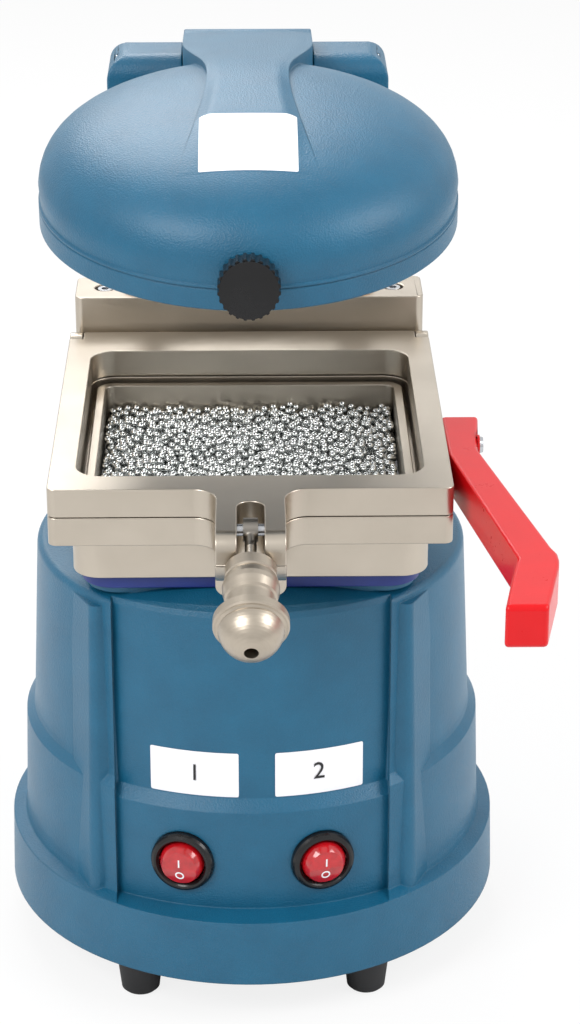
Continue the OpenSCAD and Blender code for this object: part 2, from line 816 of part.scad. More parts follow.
module lower_frame() {
    color([0.82, 0.78, 0.72]) difference() {
        union() {
            slab(-plate_half_w, plate_half_w, -plate_front, shelf_rear, lower_z, lower_top, plate_round);
            tongue(lower_z, lower_top);
            along_y(-lug_front, -base_half_y - past)
                rounded_rect(-tongue_w / 2 - 0.4, tongue_w / 2 + 0.4, lug_z, lower_z + 4, 3.9);
            both_sides() {
                translate([plate_half_w - ear_w, frame_pin_y - ear_r, lower_top - past])
                    cube([ear_w, 2 * ear_r, frame_pin_z - lower_top + past]);
                translate([plate_half_w - ear_w, frame_pin_y, frame_pin_z]) rotate([0, 90, 0])
                    cylinder(r = ear_r, h = ear_w);
            }
        }
        frame_window(lower_z - past, lower_top + past);
        tongue_slot(lower_z - past, lower_top + past);
        at_rods() translate([0, 0, lower_z - past]) cylinder(r = bush_r + seat, h = lower_t + 2 * past);
        at_block_screws() translate([0, 0, lower_z - past])
            cylinder(r = 2 + seat, h = lower_t + 2 * past, $fn = 24);
        frame_pin_bore(frame_pin_r + seat);
    }
}

module carriage_block() {
    color([0.82, 0.78, 0.72]) difference() {
        slab(-block_half_w, block_half_w, block_front, shelf_rear - 0.5, lower_top, block_top, plate_round);
        at_rods() translate([0, 0, lower_top - past]) cylinder(r = bush_r + seat, h = block_h + 2 * past);
        at_block_screws() {
            translate([0, 0, lower_top - past]) cylinder(r = 2 + seat, h = block_h + 2 * past, $fn = 24);
            translate([0, 0, block_top - 3]) cylinder(r = 4, h = 3 + past, $fn = 24);
        }
    }
}

module block_screws() {
    color("silver") at_block_screws() translate([0, 0, block_top - 3]) screw(2, 3.6, block_h + lower_t - 4);
}

module guide_bushes() {
    color([0.72, 0.53, 0.25]) at_rods() {
        translate([0, 0, lower_z]) ring(bush_r, rod_r + fit, block_top - lower_z);
        translate([0, 0, block_top]) ring(bush_flange_r, rod_r + fit, bush_flange_t);
    }
}

module frame_hinge_pin() {
    color("silver") translate([-plate_half_w, frame_pin_y, frame_pin_z]) rotate([0, 90, 0])
        cylinder(r = frame_pin_r, h = 2 * plate_half_w);
}

module upper_frame() {
    notch_y = frame_pin_y - ear_r - 0.6;
    notch_x = plate_half_w - ear_w - gap;
    color([0.82, 0.78, 0.72]) difference() {
        union() {
            intersection() {
                slab(-plate_half_w, plate_half_w, -plate_front, upper_rear + 5,
                     upper_z, upper_top, plate_round);
                along_x(plate_half_w) union() {
                    translate([-plate_front, upper_z]) square([plate_front + frame_pin_y, upper_t]);
                    translate([frame_pin_y, frame_pin_z]) circle(upper_t / 2);
                }
            }
            tongue(upper_z, upper_top);
        }
        frame_window(upper_z - past, upper_top + past);
        tongue_slot(upper_z - past, upper_top + past);
        both_sides() translate([notch_x, notch_y, upper_z - past])
            cube([ear_w + past, 20, upper_t + 2 * past]);
        frame_pin_bore(frame_pin_r + fit);
        translate([-tongue_w, -pivot_front, pivot_z]) rotate([0, 90, 0])
            cylinder(r = pivot_pin_r + seat, h = 2 * tongue_w);
        translate([plate_half_w - 8, handle_screw_y, handle_screw_z]) rotate([0, 90, 0])
            cylinder(r = 2 + seat, h = 10, $fn = 24);
    }
}

module clamp_pivot_pin() {
    color("silver") translate([-tongue_w / 2, -pivot_front, pivot_z]) rotate([0, 90, 0])
        cylinder(r = pivot_pin_r, h = tongue_w);
}

// Flat bar with a double bend in plan, its root against the upper plate's right side
module handle() {
    x0 = plate_half_w;
    x1 = x0 + handle_w;
    bend_x = x1 + handle_swing;
    z0 = handle_screw_z - handle_h * 0.75;
    color([0.88, 0.1, 0.13]) difference() {
        intersection() {
            translate([0, 0, z0]) linear_extrude(handle_h) {
                polygon([
                    [x0, -4],
                    [x1, -4],
                    [x1 - 2.3, -34],
                    [bend_x - 1.6, -117],
                    [bend_x - 0.1, -121.5],
                    [bend_x, -126],
                    [bend_x - 0.6, -131],
                    [x1 + 10.5, -handle_reach],
                    [x1 - 3.2, -handle_reach],
                    [bend_x - 14.6, -130],
                    [bend_x - 13.4, -125.5],
                    [bend_x - 14.4, -120],
                    [x0 + 0.3, -38]
                ]);
            }
            union() {
                translate([x0, -handle_reach + 2, z0]) cube([60, handle_reach - 4, handle_h]);
                translate([x0 - 5, -handle_reach + 2, z0 + 2]) rotate([0, 90, 0]) cylinder(r = 2, h = 60);
                translate([x0 - 5, -handle_reach + 2, z0 + handle_h - 2])
                    rotate([0, 90, 0]) cylinder(r = 2, h = 60);
                translate([x0 - 5, -handle_reach, z0 + 2]) cube([60, 6, handle_h - 4]);
            }
        }
        translate([x0 - past, handle_screw_y, handle_screw_z]) rotate([0, 90, 0])
            cylinder(r = 2 + seat, h = handle_w + 4, $fn = 24);
        translate([handle_screw_x, handle_screw_y, handle_screw_z]) rotate([0, 90, 0])
            cylinder(r = handle_screw_head_r + 0.2, h = 5, $fn = 24);
        translate([x0 - past, -plate_front, z0 - past]) cube([past + gap, plate_front, upper_z - z0 + past]);
    }
}

module handle_screw() {
    color("silver") translate([handle_screw_x, handle_screw_y, handle_screw_z])
        rotate([0, 90, 0]) screw(2, handle_screw_head_r, handle_w + 5);
}

// Puts +Z along the swing bolt, away from its pivot
module along_bolt() {
    translate([0, -pivot_front, pivot_z]) rotate([90 + bolt_droop, 0, 0]) children();
}

module swing_bolt() {
    color("silver") along_bolt() difference() {
        union() {
            translate([-eye_w / 2, 0, 0]) rotate([0, 90, 0]) cylinder(r = eye_r, h = eye_w);
            cylinder(r1 = eye_w / 2, r2 = bolt_r - 0.2, h = eye_r + 4);
            translate([0, 0, eye_r + 3]) cylinder(r = bolt_r, h = stud_end - eye_r - 3);
        }
        translate([-eye_w, 0, 0]) rotate([0, 90, 0]) cylinder(r = pivot_pin_r + fit, h = 2 * eye_w);
    }
}

module clamp_collar() {
    t0 = collar_at;
    t1 = collar_at + collar_h;
    color([0.8, 0.75, 0.68]) along_bolt() rotate_extrude() polygon([
        [bolt_r + fit, t0],
        [collar_r - 1, t0],
        [collar_r, t0 + 0.8],
        [collar_r, t1 - 0.5],
        [collar_r - 0.5, t1],
        [bolt_r + fit, t1]
    ]);
}

module clamp_knob() {
    t0 = knob_at;
    flange_t = t0 + 17.6;
    ball_t = flange_t + 3.9;
    hole_r = 2.4;
    color([0.8, 0.75, 0.68]) along_bolt() rotate_extrude() polygon(concat(
        [
            [bolt_r + fit, t0],
            [8.2, t0],
            [9, t0 + 1.3],
            [9.5, t0 + 3.6],
            [9.4, t0 + 5.6],
            [8.7, t0 + 8.7],
            [8.1, t0 + 9.3],
            [8, t0 + 10.2],
            [8, t0 + 15],
            [8.6, t0 + 16.6],
            [9.8, flange_t - 0.2],
            [knob_flange_r - 0.4, flange_t],
            [knob_flange_r, flange_t + 0.4],
            [knob_flange_r, flange_t + 3.2],
            [knob_flange_r - 0.5, ball_t - 0.2],
            [knob_ball_r + 0.5, ball_t - 0.1],
            [knob_ball_r - 0.3, ball_t + 0.5]
        ],
        [
            for (a = [6:6:acos(hole_r / knob_ball_r)])
                [knob_ball_r * cos(a), ball_t + knob_ball_r * sin(a)]
        ],
        [
            [hole_r, ball_t + sqrt(knob_ball_r * knob_ball_r - hole_r * hole_r)],
            [hole_r, ball_t + 2.6],
            [bolt_r + fit, ball_t + 2.6]
        ]
    ));
}

// The head is drawn level, its rim on z = 0, and then leaned forward
module head_pose() {
    translate([0, 0, head_z]) rotate([head_lean, 0, 0]) children();
}

function arm_raise(y) = let (t = min(1, max(0, (y + 46) / 40))) 2.4 * t * t * (3 - 2 * t);
function arm_front_w(y) = waist_half_w + 9.5 * pow((24 - y) / 70, 1.5);
function arm_rear_w(y) = let (t = min(1, max(0, (y - 28) / 50)))
    waist_half_w + (barrel_half_w - waist_half_w) * t * t * (3 - 2 * t);
function arm_w(y) = y < 24 ? arm_front_w(y) : arm_rear_w(y);

function dome_points(inset) = [
    for (t = [0:4:88])
        [
            (head_r - inset) * pow(cos(t), 2 / dome_power),
            dome_z0 + (head_h - inset - dome_z0) * pow(sin(t), 2 / dome_power)
        ]
];
function dome_z(y) = dome_z0 + (head_h - dome_z0) * pow(1 - pow(abs(y) / head_r, dome_power), 1 / dome_power);

module at_head_knob() {
    translate([0, -head_r, knob_rise]) rotate([90 - knob_up, 0, 0]) children();
}

module arm() {
    fade = -46;
    intersection() {
        along_x(barrel_half_w) polygon(concat(
            [for (y = [fade:6:44]) [y, dome_z(y) + arm_raise(y)]],
            [
                [head_hinge_y, head_hinge_z + barrel_r],
                [head_hinge_y, head_hinge_z - barrel_r],
                [head_r, 10],
                [fade, 10]
            ]
        ));
        linear_extrude(head_h + 20) polygon(concat(
            [for (y = [fade:5:head_hinge_y + 2]) [arm_w(y), y]],
            [for (y = [head_hinge_y + 2:-5:fade]) [-arm_w(y), y]]
        ));
    }
    translate([-barrel_half_w, head_hinge_y, head_hinge_z]) rotate([0, 90, 0])
        cylinder(r = barrel_r, h = 2 * barrel_half_w);
}

module head_shell() {
    color("steelblue") head_pose() difference() {
        union() {
            rotate_extrude($fn = 96) polygon(concat(
                [
                    [0, 0],
                    [head_r, 0],
                    [head_r, band_h],
                    [head_r - 0.6, band_h + 0.3],
                    [head_r, band_h + 0.6],
                    [head_r, band_h + 1.4],
                    [head_r - 0.6, band_h + 1.7]
                ],
                dome_points(0),
                [[0, head_h]]
            ));
            arm();
        }
        rotate_extrude($fn = 96) polygon(concat(
            [
                [0, -past],
                [rim_wall_r, -past],
                [rim_wall_r, reflector_z],
                [rim_wall_r - 2.4, reflector_z],
                [rim_wall_r - 2.4, reflector_z + 1.6],
                [rim_wall_r, dome_z0]
            ],
            dome_points(head_wall),
            [[0, head_h - head_wall]]
        ));
        translate([-barrel_half_w - past, head_hinge_y, head_hinge_z]) rotate([0, 90, 0])
            cylinder(r = hinge_pin_r + fit, h = 2 * (barrel_half_w + past));
        at_head_knob() translate([0, 0, -10]) cylinder(r = knob_stud_r + seat, h = 20, $fn = 24);
        at_head_knob() translate([0, 0, -head_wall - knob_nut_h - 3.3])
            cylinder(r = knob_nut_r + 0.4, h = knob_nut_h + 3, $fn = 24);
    }
}

module reflector() {
    dish_z = reflector_z + 11;
    color("gainsboro") head_pose() difference() {
        rotate_extrude($fn = 96) polygon([
            [0, dish_z],
            [54, dish_z],
            [61, reflector_z - 1.2],
            [rim_wall_r - gap, reflector_z - 1.2],
            [rim_wall_r - gap, reflector_z],
            [62, reflector_z],
            [55, dish_z + 1.2],
            [0, dish_z + 1.2]
        ]);
        for (x = [-6, 6]) translate([x, element_r - 12, dish_z - past]) cylinder(r = 2.6, h = 4, $fn = 24);
    }
}

// Two heater loops in one plane, joined at the front, with their terminals through the reflector
module heating_element() {
    z = element_z;
    inner_r = element_r - 22;
    color([0.45, 0.4, 0.38]) head_pose() {
        for (r = [element_r, inner_r]) translate([0, 0, z])
            rotate_extrude() translate([r, 0]) circle(element_tube_r, $fn = 24);
        for (x = [-6, 6]) {
            translate([x, inner_r - 0.5, z]) rotate([-90, 0, 0])
                cylinder(r = element_tube_r - 0.7, h = element_r - inner_r, $fn = 24);
            translate([x, element_r - 12, z]) cylinder(r = 2, h = 14, $fn = 24);
        }
    }
}

module element_supports() {
    z = element_z;
    dish_z = reflector_z + 11;
    color("silver") head_pose() for (a = [30, 150, 270], r = [element_r, element_r - 22])
        rotate([0, 0, a]) translate([r, 0, z]) {
            rotate([90, 0, 0]) translate([0, 0, -2]) ring(element_tube_r + 1.1, element_tube_r + 0.1, 4);
            translate([0, 0, element_tube_r + 0.5])
                cylinder(r = 1.4, h = dish_z - z - element_tube_r - 0.5, $fn = 24);
        }
}

module head_knob() {
    r = head_knob_r;
    color([0.1, 0.1, 0.11]) head_pose() at_head_knob() difference() {
        union() {
            translate([0, 0, 1]) cylinder(r = r * 0.62, h = 1.6);
            translate([0, 0, 2.2]) linear_extrude(head_knob_t - 0.8) difference() {
                circle(r);
                for (k = [0:23]) rotate(15 * k) translate([r + 0.35, 0]) circle(1, $fn = 16);
            }
            translate([0, 0, 2.2]) cylinder(r = r - 0.65, h = head_knob_t);
        }
        cylinder(r = knob_stud_r + seat, h = head_knob_t - 1, $fn = 24);
    }
}

module head_knob_stud() {
    color("silver") head_pose() at_head_knob() {
        translate([0, 0, -head_wall - 4.5])
            cylinder(r = knob_stud_r, h = head_wall + 3 + head_knob_t, $fn = 24);
        translate([0, 0, -head_wall - knob_nut_h - 0.5]) cylinder(r = knob_nut_r, h = knob_nut_h, $fn = 6);
    }
}

base_housing();
bottom_plate();
bottom_plate_screws();
feet();
foot_screws();
motor_case();
fan_case();
motor_mount();
motor_seal();
fan_impeller();
motor_shaft();
vacuum_base();
platform_gasket();
bead_tray();
perforated_plate();
steel_shot();
guide_rods();
head_yoke();
yoke_screws();
head_hinge_pin();
left_switch_bezel();
right_switch_bezel();
left_rocker();
right_rocker();
power_inlet();
fuse_holder();
lower_frame();
carriage_block();
block_screws();
guide_bushes();
frame_hinge_pin();
upper_frame();
clamp_pivot_pin();
handle();
handle_screw();
swing_bolt();
clamp_collar();
clamp_knob();
head_shell();
reflector();
heating_element();
element_supports();
head_knob();
head_knob_stud();
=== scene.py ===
"""Looks for a bench-top vacuum former for dental sheets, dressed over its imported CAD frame.

Lengths are metres in the frame's own axes: +Z is up, the machine's front faces -Y, and the origin lies on
the table under the middle of the bead tray. Sizes that come from a drawing are written in millimetres as
a number times MM.
"""

from __future__ import annotations

import logging
import math
import random
from collections.abc import Iterable, Mapping, Sequence
from dataclasses import dataclass
from enum import Enum
from typing import Union

import bmesh
import bpy
from mathutils import Matrix, Vector
from mathutils.bvhtree import BVHTree


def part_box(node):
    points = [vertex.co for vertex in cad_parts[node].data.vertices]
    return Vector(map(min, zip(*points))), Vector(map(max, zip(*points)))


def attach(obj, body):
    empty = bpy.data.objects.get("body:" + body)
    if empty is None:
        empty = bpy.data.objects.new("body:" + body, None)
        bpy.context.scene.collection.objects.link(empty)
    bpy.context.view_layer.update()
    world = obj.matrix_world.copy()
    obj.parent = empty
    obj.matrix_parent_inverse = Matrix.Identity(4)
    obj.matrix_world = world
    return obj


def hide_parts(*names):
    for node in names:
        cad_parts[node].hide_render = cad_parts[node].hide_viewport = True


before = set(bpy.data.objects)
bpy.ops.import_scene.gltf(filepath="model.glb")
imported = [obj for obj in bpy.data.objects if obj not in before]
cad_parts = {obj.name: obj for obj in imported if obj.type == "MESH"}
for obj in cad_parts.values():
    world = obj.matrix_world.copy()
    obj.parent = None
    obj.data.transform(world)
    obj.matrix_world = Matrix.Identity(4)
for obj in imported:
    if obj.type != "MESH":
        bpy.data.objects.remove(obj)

LOG = logging.getLogger("vacuum_former")
MM = 0.001
Colour = tuple[float, float, float, float]

BOLT_DROOP = 21.0
"""Degrees by which the swing bolt hangs below level at rest."""


class Body(str, Enum):
    """The bodies of the frame that a piece can ride on."""

    BASE = "base"
    CARRIAGE = "carriage"
    UPPER_PLATE = "upper_plate"
    BOLT = "bolt"
    COLLAR = "collar"
    KNOB = "knob"
    HEAD = "head"
    LEFT_SWITCH = "left_switch"
    RIGHT_SWITCH = "right_switch"


class Side(Enum):
    """A side of the machine as seen from its front, with the sign of its X."""

    LEFT = -1
    RIGHT = 1


def shade(red: int, green: int, blue: int) -> Colour:
    """Turns a colour as a screen shows it into the linear one that a shader takes.

    Args:
        red: Red from 0 to 255.
        green: Green from 0 to 255.
        blue: Blue from 0 to 255.

    Returns:
        The linear colour with full alpha.
    """
    parts = [value / 255 for value in (red, green, blue)]
    linear = [c / 12.92 if c <= 0.04045 else ((c + 0.055) / 1.055) ** 2.4 for c in parts]
    return (linear[0], linear[1], linear[2], 1.0)


class Wire:
    """An output socket that takes part in arithmetic; each operation adds one Math node."""

    def __init__(self, board: "Board", socket: bpy.types.NodeSocket) -> None:
        """Holds a socket and the board it lies on."""
        self.board = board
        self.socket = socket

    def _math(self, operation: str, first: "Value", second: "Value") -> "Wire":
        """Adds the Math node for one operation on two values."""
        node = self.board.add("ShaderNodeMath", {"operation": operation}, {0: first, 1: second})
        return Wire(self.board, node.outputs[0])

    def __add__(self, other: "Value") -> "Wire":
        """Adds two values."""
        return self._math("ADD", self, other)

    __radd__ = __add__

    def __sub__(self, other: "Value") -> "Wire":
        """Takes the other value away."""
        return self._math("SUBTRACT", self, other)

    def __rsub__(self, other: "Value") -> "Wire":
        """Takes this value away from a number."""
        return self._math("SUBTRACT", other, self)

    def __mul__(self, other: "Value") -> "Wire":
        """Multiplies two values."""
        return self._math("MULTIPLY", self, other)

    __rmul__ = __mul__

    def __pow__(self, other: "Value") -> "Wire":
        """Raises this value to a power."""
        return self._math("POWER", self, other)

    def below(self, edge: "Value") -> "Wire":
        """Is 1 where this value lies under the edge, and 0 elsewhere."""
        return self._math("LESS_THAN", self, edge)


Value = Union[Wire, float, int]
Neighbours = dict[tuple[int, int], list[Vector]]


class Board:
    """The node tree of one material, with the few nodes that its finishes share."""

    def __init__(self, tree: bpy.types.NodeTree) -> None:
        """Empties the tree and starts on it."""
        self.tree = tree
        self.tree.nodes.clear()

    def add(
        self,
        kind: str,
        settings: Mapping[str, object] | None = None,
        sockets: Mapping[str | int, object] | None = None,
    ) -> bpy.types.Node:
        """Adds any node.

        Args:
            kind: The node's type name.
            settings: Its own settings, set first; "stops" holds a ramp's positions and colours.
            sockets: Numbers, colours or wires for its input sockets.

        Returns:
            The new node.
        """
        node = self.tree.nodes.new(kind)
        for name, value in (settings or {}).items():
            if name == "stops":
                self._set_stops(node, value)
            else:
                setattr(node, name, value)
        for key, value in (sockets or {}).items():
            if isinstance(value, Wire):
                self.tree.links.new(value.socket, node.inputs[key])
            else:
                node.inputs[key].default_value = value
        return node

    @staticmethod
    def _set_stops(node: bpy.types.Node, stops: Sequence[tuple[float, Colour]]) -> None:
        """Gives a colour ramp its stops, of which it starts with two.

        Args:
            node: The ramp.
            stops: Positions from 0 to 1 with their colours.
        """
        elements = node.color_ramp.elements
        while len(elements) < len(stops):
            elements.new(1.0)
        for element, (position, colour) in zip(elements, stops):
            element.position = position
            element.color = colour

    def place(self, turn: Sequence[float] = (0, 0, 0), stretch: Sequence[float] = (1, 1, 1)) -> Wire:
        """Gives the point on the piece in axes that are turned, with each coordinate then stretched.

        Args:
            turn: The axes' turns about X, Y and Z in radians.
            stretch: Factors for the three coordinates.

        Returns:
            The point's coordinates.
        """
        here = self.add("ShaderNodeTexCoord")
        turned = self.add(
            "ShaderNodeMapping",
            {"vector_type": "TEXTURE"},
            {
                "Vector": Wire(self, here.outputs["Object"]),
                "Rotation": tuple(turn),
                "Scale": tuple(1 / part for part in stretch),
            },
        )
        return Wire(self, turned.outputs[0])

    def noise(self, grain: float, detail: float = 2.0, at: Wire | None = None, rough: float = 0.5) -> Wire:
        """Gives noise from 0 to 1 whose grains are about as wide as asked.

        Args:
            grain: Width of a grain.
            detail: How many finer layers are added.
            at: The point to read, or none for the point on the piece.
            rough: How strong the finer layers are.

        Returns:
            The noise's value.
        """
        node = self.add(
            "ShaderNodeTexNoise",
            None,
            {"Vector": at or self.place(), "Scale": 1 / grain, "Detail": detail, "Roughness": rough},
        )
        return Wire(self, node.outputs[0])

    def cells(self, width: float) -> Wire:
        """Gives the distance to the nearest cell centre, in cell widths, as dimples in paint lie."""
        node = self.add("ShaderNodeTexVoronoi", None, {"Vector": self.place(), "Scale": 1 / width})
        return Wire(self, node.outputs["Distance"])

    def blend(self, factor: Value, low: object, high: object) -> Wire:
        """Mixes two colours by a factor from 0 to 1."""
        node = self.add("ShaderNodeMix", {"data_type": "RGBA"}, {0: factor, 6: low, 7: high})
        return Wire(self, node.outputs[2])

    def bump(self, height: Wire, depth: float, edge: float = 0.0) -> Wire:
        """Gives the surface direction of a relief.

        Args:
            height: The relief's height from 0 to 1.
            depth: What 1 of height is in metres.
            edge: Radius to which sharp edges look rounded, or 0 to leave them.

        Returns:
            The bent normal.
        """
        sockets: dict[str | int, object] = {"Height": height, "Distance": depth, "Strength": 1.0}
        if edge:
            soft = self.add("ShaderNodeBevel", {"samples": 6}, {"Radius": edge})
            sockets["Normal"] = Wire(self, soft.outputs[0])
        node = self.add("ShaderNodeBump", None, sockets)
        return Wire(self, node.outputs[0])

    def surface(self, sockets: Mapping[str, object]) -> None:
        """Adds the surface shader with these sockets, and the output."""
        shader = self.add("ShaderNodeBsdfPrincipled", None, sockets)
        self.add("ShaderNodeOutputMaterial", None, {"Surface": Wire(self, shader.outputs[0])})


@dataclass(frozen=True)
class Finish:
    """A finish of the machine: the name of its material and how its nodes are laid."""

    name: str

    def lay(self, board: Board) -> None:
        """Lays the finish's nodes.

        Args:
            board: The empty board to lay them on.
        """
        raise NotImplementedError

    def material(self) -> bpy.types.Material:
        """Gives the finish's material, made on first use."""
        found = bpy.data.materials.get(self.name)
        if found is None:
            found = bpy.data.materials.new(self.name)
            found.use_nodes = True
            self.lay(Board(found.node_tree))
        return found


@dataclass(frozen=True)
class HammeredEnamel(Finish):
    """Stoved enamel with a fine orange-peel grain, as sprayed on the housing and the head."""

    deep: Colour = shade(4, 70, 99)
    light: Colour = shade(20, 103, 137)
    grain: float = 0.7 * MM
    depth: float = 0.16 * MM
    roughness: float = 0.4
    edge: float = 0.8 * MM

    def lay(self, board: Board) -> None:
        """Lays the enamel: a cellular grain, a little mottling, and a soft gloss."""
        dimples = board.cells(self.grain)
        fine = board.noise(self.grain * 0.5, 3.0)
        cloud = board.noise(14 * MM, 3.0)
        colour = board.blend(cloud * 0.5 + fine * 0.5, self.deep, self.light)
        board.surface(
            {
                "Base Color": colour,
                "Roughness": fine * 0.16 + (self.roughness - 0.08),
                "Specular IOR Level": 0.42,
                "Coat Weight": 0.12,
                "Coat Roughness": 0.3,
                "Normal": board.bump(dimples * 0.6 + fine * 0.6, self.depth, self.edge),
            }
        )


@dataclass(frozen=True)
class SatinMetal(Finish):
    """Blasted and plated metal with a fine even grain."""

    colour: Colour = shade(191, 182, 169)
    worn: Colour = shade(171, 162, 149)
    roughness: float = 0.32
    grain: float = 0.35 * MM
    depth: float = 0.012 * MM

    def lay(self, board: Board) -> None:
        """Lays the plating: a satin grain and slow changes of tone."""
        fine = board.noise(self.grain, 3.0)
        cloud = board.noise(22 * MM, 3.0)
        board.surface(
            {
                "Base Color": board.blend(cloud, self.worn, self.colour),
                "Metallic": 1.0,
                "Roughness": fine * 0.12 + cloud * 0.08 + (self.roughness - 0.1),
                "Normal": board.bump(fine, self.depth),
            }
        )


@dataclass(frozen=True)
class TurnedMetal(Finish):
    """Plated metal turned on a lathe, with fine rings about one axis."""

    colour: Colour = shade(188, 178, 164)
    roughness: float = 0.24
    lean: float = 0.0
    ring: float = 0.18 * MM
    depth: float = 0.004 * MM

    def lay(self, board: Board) -> None:
        """Lays rings across the turning axis, which leans about X by the finish's angle."""
        along = board.place((self.lean, 0, 0), (0.02, 0.02, 1.0))
        rings = board.noise(self.ring, 2.0, along)
        cloud = board.noise(6 * MM, 2.0)
        board.surface(
            {
                "Base Color": board.blend(cloud * 0.6 + rings * 0.4, shade(160, 150, 136), self.colour),
                "Metallic": 1.0,
                "Roughness": rings * 0.1 + cloud * 0.06 + (self.roughness - 0.08),
                "Normal": board.bump(rings, self.depth),
            }
        )


@dataclass(frozen=True)
class MouldedPlastic(Finish):
    """Plastic or rubber out of a mould, with a faint grain."""

    colour: Colour = shade(24, 24, 26)
    light: Colour = shade(34, 34, 37)
    roughness: float = 0.3
    grain: float = 0.5 * MM
    depth: float = 0.01 * MM
    coat: float = 0.0
    specular: float = 0.4

    def lay(self, board: Board) -> None:
        """Lays the plastic: a faint grain and handling marks in the gloss."""
        fine = board.noise(self.grain, 3.0)
        cloud = board.noise(9 * MM, 4.0)
        board.surface(
            {
                "Base Color": board.blend(cloud, self.colour, self.light),
                "Roughness": cloud * 0.12 + fine * 0.06 + (self.roughness - 0.09),
                "Specular IOR Level": self.specular,
                "Coat Weight": self.coat,
                "Coat Roughness": 0.08,
                "Normal": board.bump(fine, self.depth),
            }
        )


@dataclass(frozen=True)
class ClearPlastic(Finish):
    """Tinted clear plastic that glows a little from the light that enters it."""

    colour: Colour = shade(214, 20, 32)
    deep: Colour = shade(140, 6, 14)

    def lay(self, board: Board) -> None:
        """Lays the tint, with a darker cloud where the lens is thick."""
        cloud = board.noise(3 * MM, 2.0)
        board.surface(
            {
                "Base Color": board.blend(cloud, self.deep, self.colour),
                "Roughness": cloud * 0.05 + 0.1,
                "Subsurface Weight": 0.3,
                "Subsurface Radius": (0.004, 0.0006, 0.0006),
                "Coat Weight": 0.6,
                "Coat Roughness": 0.05,
                "Normal": board.bump(cloud, 0.02 * MM),
            }
        )


BLUE = HammeredEnamel("blue_enamel")
NICKEL = SatinMetal("satin_nickel_plate")
KNOB_NICKEL = TurnedMetal("turned_nickel", roughness=0.37, lean=math.radians(90 + BOLT_DROOP))
BOLT_STEEL = SatinMetal("dulled_bolt_steel", shade(150, 145, 138), shade(112, 107, 100), 0.36)
STEEL = SatinMetal("zinc_plated_steel", shade(198, 200, 203), shade(170, 172, 176), 0.26)
GROUND_STEEL = TurnedMetal("ground_steel_rod", shade(205, 206, 208), 0.16)
SHOT = SatinMetal("polished_shot", shade(224, 226, 225), shade(198, 201, 200), 0.16)
BLACK = MouldedPlastic(
    "black_gloss_plastic", shade(12, 12, 13), shade(20, 20, 22), 0.26, coat=0.15, specular=0.3
)
RUBBER = MouldedPlastic("black_moulded_rubber", shade(26, 26, 27), shade(38, 38, 40), 0.52, 0.8 * MM)
NAVY = MouldedPlastic("navy_gasket_rubber", shade(20, 38, 104), shade(30, 52, 128), 0.42, 0.7 * MM)
RED = MouldedPlastic(
    "red_gloss_plastic", shade(205, 2, 12), shade(218, 10, 20), 0.3, 1.2 * MM, coat=0.12, specular=0.26
)
RED_LENS = ClearPlastic("red_rocker_lens")
PAPER = MouldedPlastic("white_card", shade(236, 236, 240), shade(244, 244, 247), 0.42, 0.4 * MM)
INK = MouldedPlastic("black_ink", shade(22, 22, 24), shade(34, 34, 36), 0.5)

SLOT_FINISHES: dict[str, Finish] = {
    "hammered_blue": BLUE,
    "black_steel": MouldedPlastic("black_painted_steel", shade(30, 30, 32), shade(44, 44, 46), 0.45),
    "zinc_steel": STEEL,
    "black_rubber": RUBBER,
    "motor_steel": SatinMetal("motor_case_steel", shade(160, 162, 165), shade(128, 130, 134), 0.38),
    "pressed_aluminium": SatinMetal(
        "pressed_sheet_aluminium", shade(205, 206, 208), shade(182, 184, 188), 0.34
    ),
    "satin_nickel": NICKEL,
    "navy_gasket": NAVY,
    "perforated_steel": SatinMetal(
        "perforated_sheet_steel", shade(150, 152, 156), shade(118, 120, 124), 0.34
    ),
    "steel_shot": SHOT,
    "ground_steel": GROUND_STEEL,
    "black_plastic": BLACK,
    "red_lens": RED_LENS,
    "bronze_bush": SatinMetal("sintered_bronze", shade(176, 130, 70), shade(140, 98, 48), 0.36),
    "red_handle": RED,
    "nickel_knob": KNOB_NICKEL,
    "bright_reflector": SatinMetal(
        "bright_reflector_sheet", shade(222, 223, 224), shade(200, 202, 205), 0.16
    ),
    "element_sheath": SatinMetal("heater_tube_sheath", shade(112, 98, 88), shade(72, 60, 54), 0.5),
}


def set_up(
    bm: bmesh.types.BMesh,
    name: str,
    body: Body,
    slot: str,
    finish: Finish | None = None,
    stands_for: Iterable[str] = (),
    smooth: float = 35.0,
    even: bool = False,
) -> bpy.types.Object:
    """Turns a finished bmesh into a piece of the machine.

    Args:
        bm: The mesh in its place; it is freed.
        name: The piece's name.
        body: The frame's body that it rides on.
        slot: The record's material slot that it takes its finish from.
        finish: The finish, or none for the slot's own one.
        stands_for: The CAD nodes that it replaces.
        smooth: The angle in degrees over which an edge stays sharp.
        even: Whether flat faces keep their direction next to rounded edges.

    Returns:
        The new object, at the origin.
    """
    mesh = bpy.data.meshes.new(name)
    bm.to_mesh(mesh)
    bm.free()
    mesh.shade_smooth()
    mesh.set_sharp_from_angle(angle=math.radians(smooth))
    mesh.materials.append((finish or SLOT_FINISHES[slot]).material())
    piece = bpy.data.objects.new(name, mesh)
    bpy.context.scene.collection.objects.link(piece)
    if even:
        weighted = piece.modifiers.new("Even faces", "WEIGHTED_NORMAL")
        weighted.keep_sharp = True
    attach(piece, body.value)
    if stands_for:
        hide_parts(*stands_for)
    LOG.info("%s: %d faces on %s", name, len(mesh.polygons), body.value)
    return piece


def ease(share: float) -> float:
    """Turns a share into a soft start and end, and keeps it from 0 to 1."""
    held = min(1.0, max(0.0, share))
    return held * held * (3 - 2 * held)


